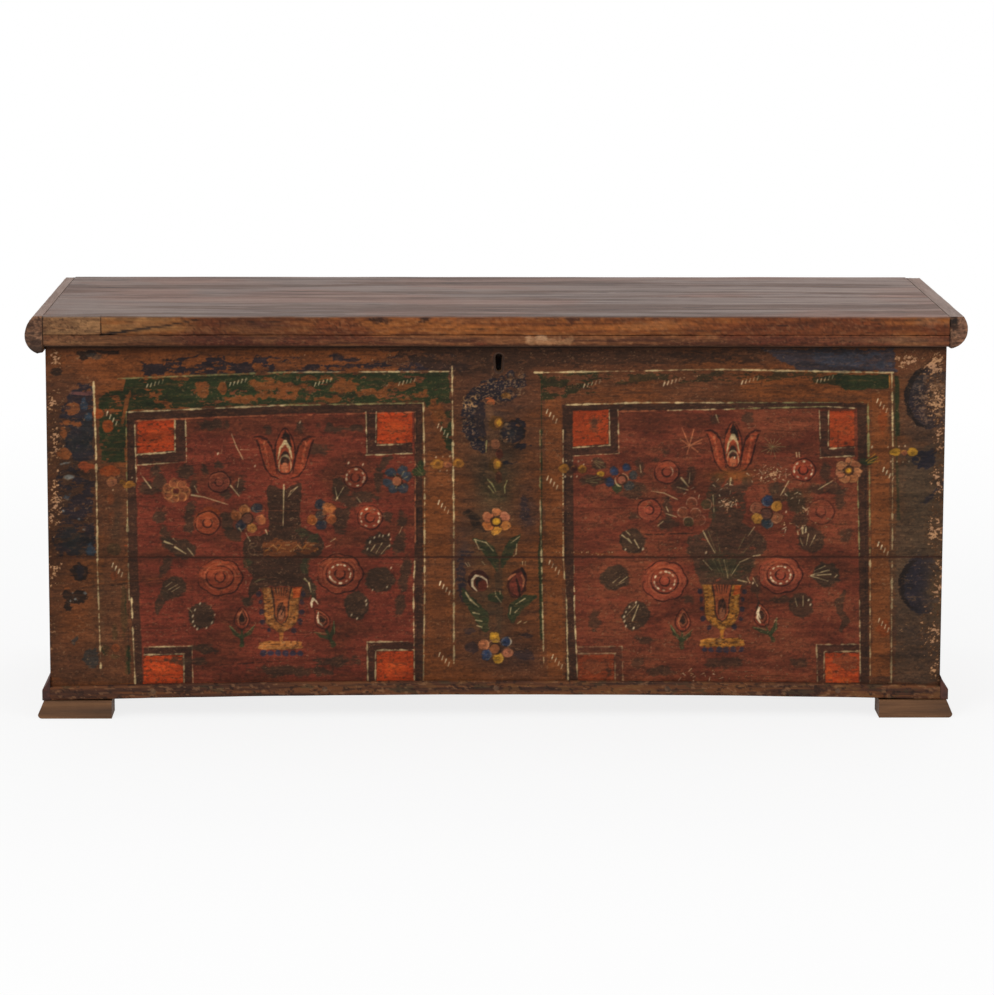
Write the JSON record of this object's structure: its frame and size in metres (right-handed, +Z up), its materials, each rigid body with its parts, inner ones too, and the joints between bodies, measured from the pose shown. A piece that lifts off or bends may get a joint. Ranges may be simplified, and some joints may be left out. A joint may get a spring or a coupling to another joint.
{
  "type": "storage trunk",
  "caption": "Long dovetailed wooden storage trunk with a painted folk-pattern front, hinged lid between rounded end cleats, block feet and an inner chest lock.",
  "frame": {"origin": "on the floor, under the middle of the trunk's outline", "axes": "+X to the right along the front, the painted front looks to -Y, +Z up"},
  "size_m": [1.4, 0.5734, 0.611],
  "materials": {
    "painted_front": "worn hand-painted milk paint over pine",
    "carcass_wood": "worn brown-orange paint over pine",
    "inner_wood": "bare aged pine",
    "lid_wood": "bare weathered pine, waxed by hands",
    "cleat_wood": "worn brown stain, rubbed edges",
    "patch_wood": "newer pine, stained",
    "plinth_wood": "dark red-brown paint, rubbed",
    "foot_wood": "worn bare pine",
    "peg_wood": "split oak",
    "forged_iron": "forged iron, dark oxide"
  },
  "bodies": {
    "carcass": {"back_lower_board": "carcass_wood", "back_upper_board": "carcass_wood", "bolt_guides": "forged_iron", "course_dowels": "peg_wood", "floor_board_front": "inner_wood", "floor_board_middle": "inner_wood", "floor_board_rear": "inner_wood", "floor_nails": "forged_iron", "foot_front_left": "foot_wood", "foot_front_right": "foot_wood", "foot_pegs": "peg_wood", "foot_rear_left": "foot_wood", "foot_rear_right": "foot_wood", "front_lower_board": "painted_front", "front_upper_board": "painted_front", "hinge_leaf_left": "forged_iron", "hinge_leaf_nails": "forged_iron", "hinge_leaf_right": "forged_iron", "hinge_pins": "forged_iron", "ledger_back": "inner_wood", "ledger_front": "inner_wood", "ledger_left": "inner_wood", "ledger_pegs": "peg_wood", "ledger_right": "inner_wood", "left_side_lower_board": "carcass_wood", "left_side_upper_board": "carcass_wood", "lock_case": "forged_iron", "lock_nails": "forged_iron", "lock_pin": "forged_iron", "lock_plate": "forged_iron", "lock_spring": "forged_iron", "plinth_front": "plinth_wood", "plinth_left": "plinth_wood", "plinth_pegs": "peg_wood", "plinth_right": "plinth_wood", "right_side_lower_board": "carcass_wood", "right_side_upper_board": "carcass_wood"},
    "lid": {"cleat_pegs": "peg_wood", "hinge_strap_left": "forged_iron", "hinge_strap_nails": "forged_iron", "hinge_strap_right": "forged_iron", "lid_cleat_left": "cleat_wood", "lid_cleat_right": "cleat_wood", "lid_dowels": "peg_wood", "lid_edge_patch": "patch_wood", "lid_front_board": "lid_wood", "lid_lip": "cleat_wood", "lid_rear_board": "lid_wood", "lip_pegs": "peg_wood", "lock_staple": "forged_iron", "staple_nails": "forged_iron"},
    "lock_bolt": {"lock_bolt": "forged_iron"}
  },
  "joints": [
    {"name": "lid_hinge", "type": "hinge", "parent": "carcass", "child": "lid", "pos_m": [0, 0.2807, 0.577], "axis": [-1, 0, 0], "range_deg": [0, 100]},
    {"name": "bolt_slide", "type": "slide", "parent": "carcass", "child": "lock_bolt", "axis": [1, 0, 0], "range_m": [0, 0.012]}
  ]
}
